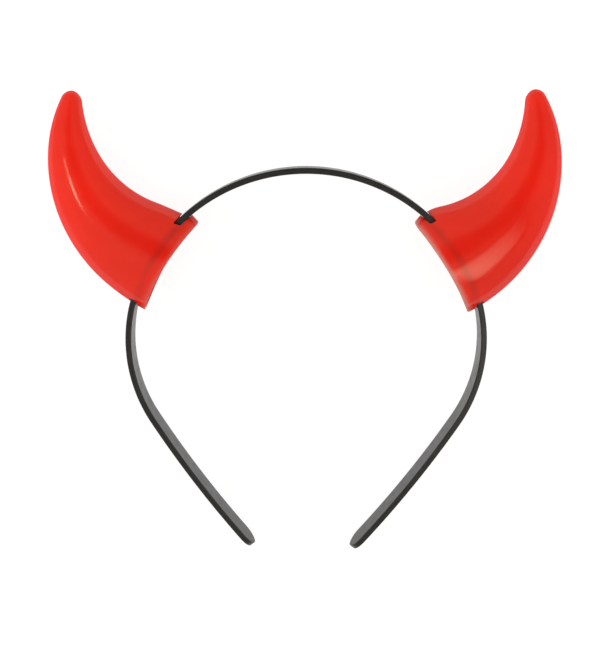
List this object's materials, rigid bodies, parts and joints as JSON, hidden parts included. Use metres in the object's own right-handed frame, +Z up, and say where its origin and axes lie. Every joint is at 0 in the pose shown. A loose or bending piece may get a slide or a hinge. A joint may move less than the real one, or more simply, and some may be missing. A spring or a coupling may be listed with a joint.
{
  "type": "devil horns headband",
  "caption": "Red hollow devil horns, curved in towards the crown, threaded by slots in their base onto a springy black plastic headband; lies on its side.",
  "frame": {"origin": "on the table, under the middle of the object's box, with the object lying on its side", "axes": "+X to the right-hand horn and +Y to the crown, both along the table; +Z up, across the headband's width"},
  "size_m": [0.193, 0.1834, 0.025],
  "materials": {
    "band_plastic": "smooth moulded black plastic with a soft sheen",
    "horn_plastic": "thin red moulded plastic, soft gloss, lets a little light through"
  },
  "bodies": {
    "root": {"headband": "band_plastic", "horn_left": "horn_plastic", "horn_right": "horn_plastic"}
  },
  "joints": []
}
